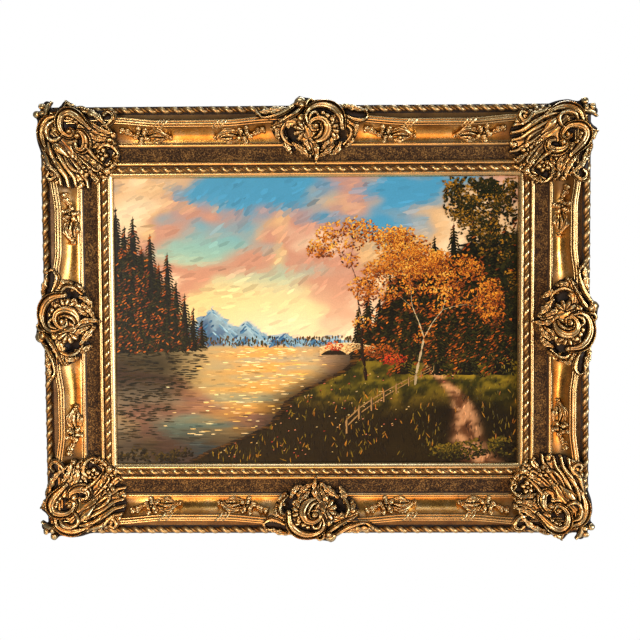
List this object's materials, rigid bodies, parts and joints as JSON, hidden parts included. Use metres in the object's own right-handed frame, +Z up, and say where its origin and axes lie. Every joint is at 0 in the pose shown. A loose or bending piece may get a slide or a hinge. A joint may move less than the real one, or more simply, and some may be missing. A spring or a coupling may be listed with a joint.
{
  "type": "framed oil painting",
  "caption": "Oil landscape on a stretched canvas in a wide gilded rococo frame with rope edges, a swept reeded rail, and scroll and flower ornaments on its corners and sides.",
  "frame": {"origin": "on the flat back of the top rail, at its middle, where it lies against the wall", "axes": "+X to the viewer's right along the frame, +Y into the wall, +Z up; the picture faces -Y"},
  "size_m": [0.96, 0.0675, 0.76],
  "materials": {
    "gilded_moulding": "aged gold leaf over red-brown ground on wood and composition, with a dark sanded panel",
    "gilded_casting": "cast composition with aged gold leaf, dark in its hollows",
    "painted_canvas": "oil paint with raised brushwork and a satin varnish on linen",
    "stretcher_wood": "bare planed pine",
    "steel": "dull stamped steel",
    "brassed_hanger": "thin brassed stamped plate"
  },
  "bodies": {
    "root": {"rail_top": "gilded_moulding", "stile_right": "gilded_moulding", "rail_bottom": "gilded_moulding", "stile_left": "gilded_moulding", "corner_top_left": "gilded_casting", "corner_top_right": "gilded_casting", "corner_bottom_right": "gilded_casting", "corner_bottom_left": "gilded_casting", "centre_top": "gilded_casting", "centre_right": "gilded_casting", "centre_bottom": "gilded_casting", "centre_left": "gilded_casting", "spray_top_start": "gilded_casting", "spray_top_before_centre": "gilded_casting", "spray_top_after_centre": "gilded_casting", "spray_top_end": "gilded_casting", "spray_right_start": "gilded_casting", "spray_right_end": "gilded_casting", "spray_bottom_start": "gilded_casting", "spray_bottom_before_centre": "gilded_casting", "spray_bottom_after_centre": "gilded_casting", "spray_bottom_end": "gilded_casting", "spray_left_start": "gilded_casting", "spray_left_end": "gilded_casting", "canvas": "painted_canvas", "stretcher_top": "stretcher_wood", "stretcher_right": "stretcher_wood", "stretcher_bottom": "stretcher_wood", "stretcher_left": "stretcher_wood", "point_top_1": "steel", "point_top_2": "steel", "point_top_3": "steel", "point_bottom_1": "steel", "point_bottom_2": "steel", "point_bottom_3": "steel", "point_right_1": "steel", "point_right_2": "steel", "point_left_1": "steel", "point_left_2": "steel", "hanger_left": "brassed_hanger", "hanger_right": "brassed_hanger"}
  },
  "joints": []
}
